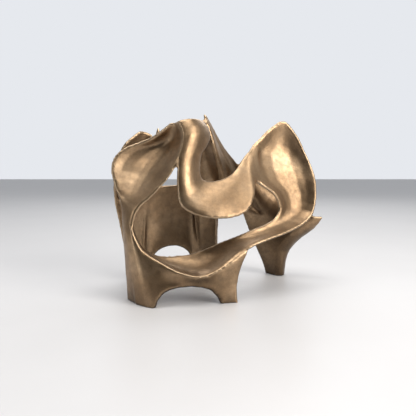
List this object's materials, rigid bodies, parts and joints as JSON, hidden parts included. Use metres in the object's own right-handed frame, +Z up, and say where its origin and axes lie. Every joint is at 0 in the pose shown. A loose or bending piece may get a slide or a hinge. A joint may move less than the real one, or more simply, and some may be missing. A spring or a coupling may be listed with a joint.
{
  "type": "abstract metal sculpture",
  "caption": "Free-standing abstract bronze sculpture of flowing hollow leaves, a looping ribbon and arched walls, standing on its own feet.",
  "frame": {"origin": "centre of the bounding box at floor level", "axes": "+X along the longest side, towards the big leaf; the front faces -Y; +Z up"},
  "size_m": [0.3272, 0.1922, 0.2579],
  "materials": {
    "bronze": "satin, brushed, dark patina in the hollows"
  },
  "bodies": {
    "root": {"sculpture": "bronze"}
  },
  "joints": []
}
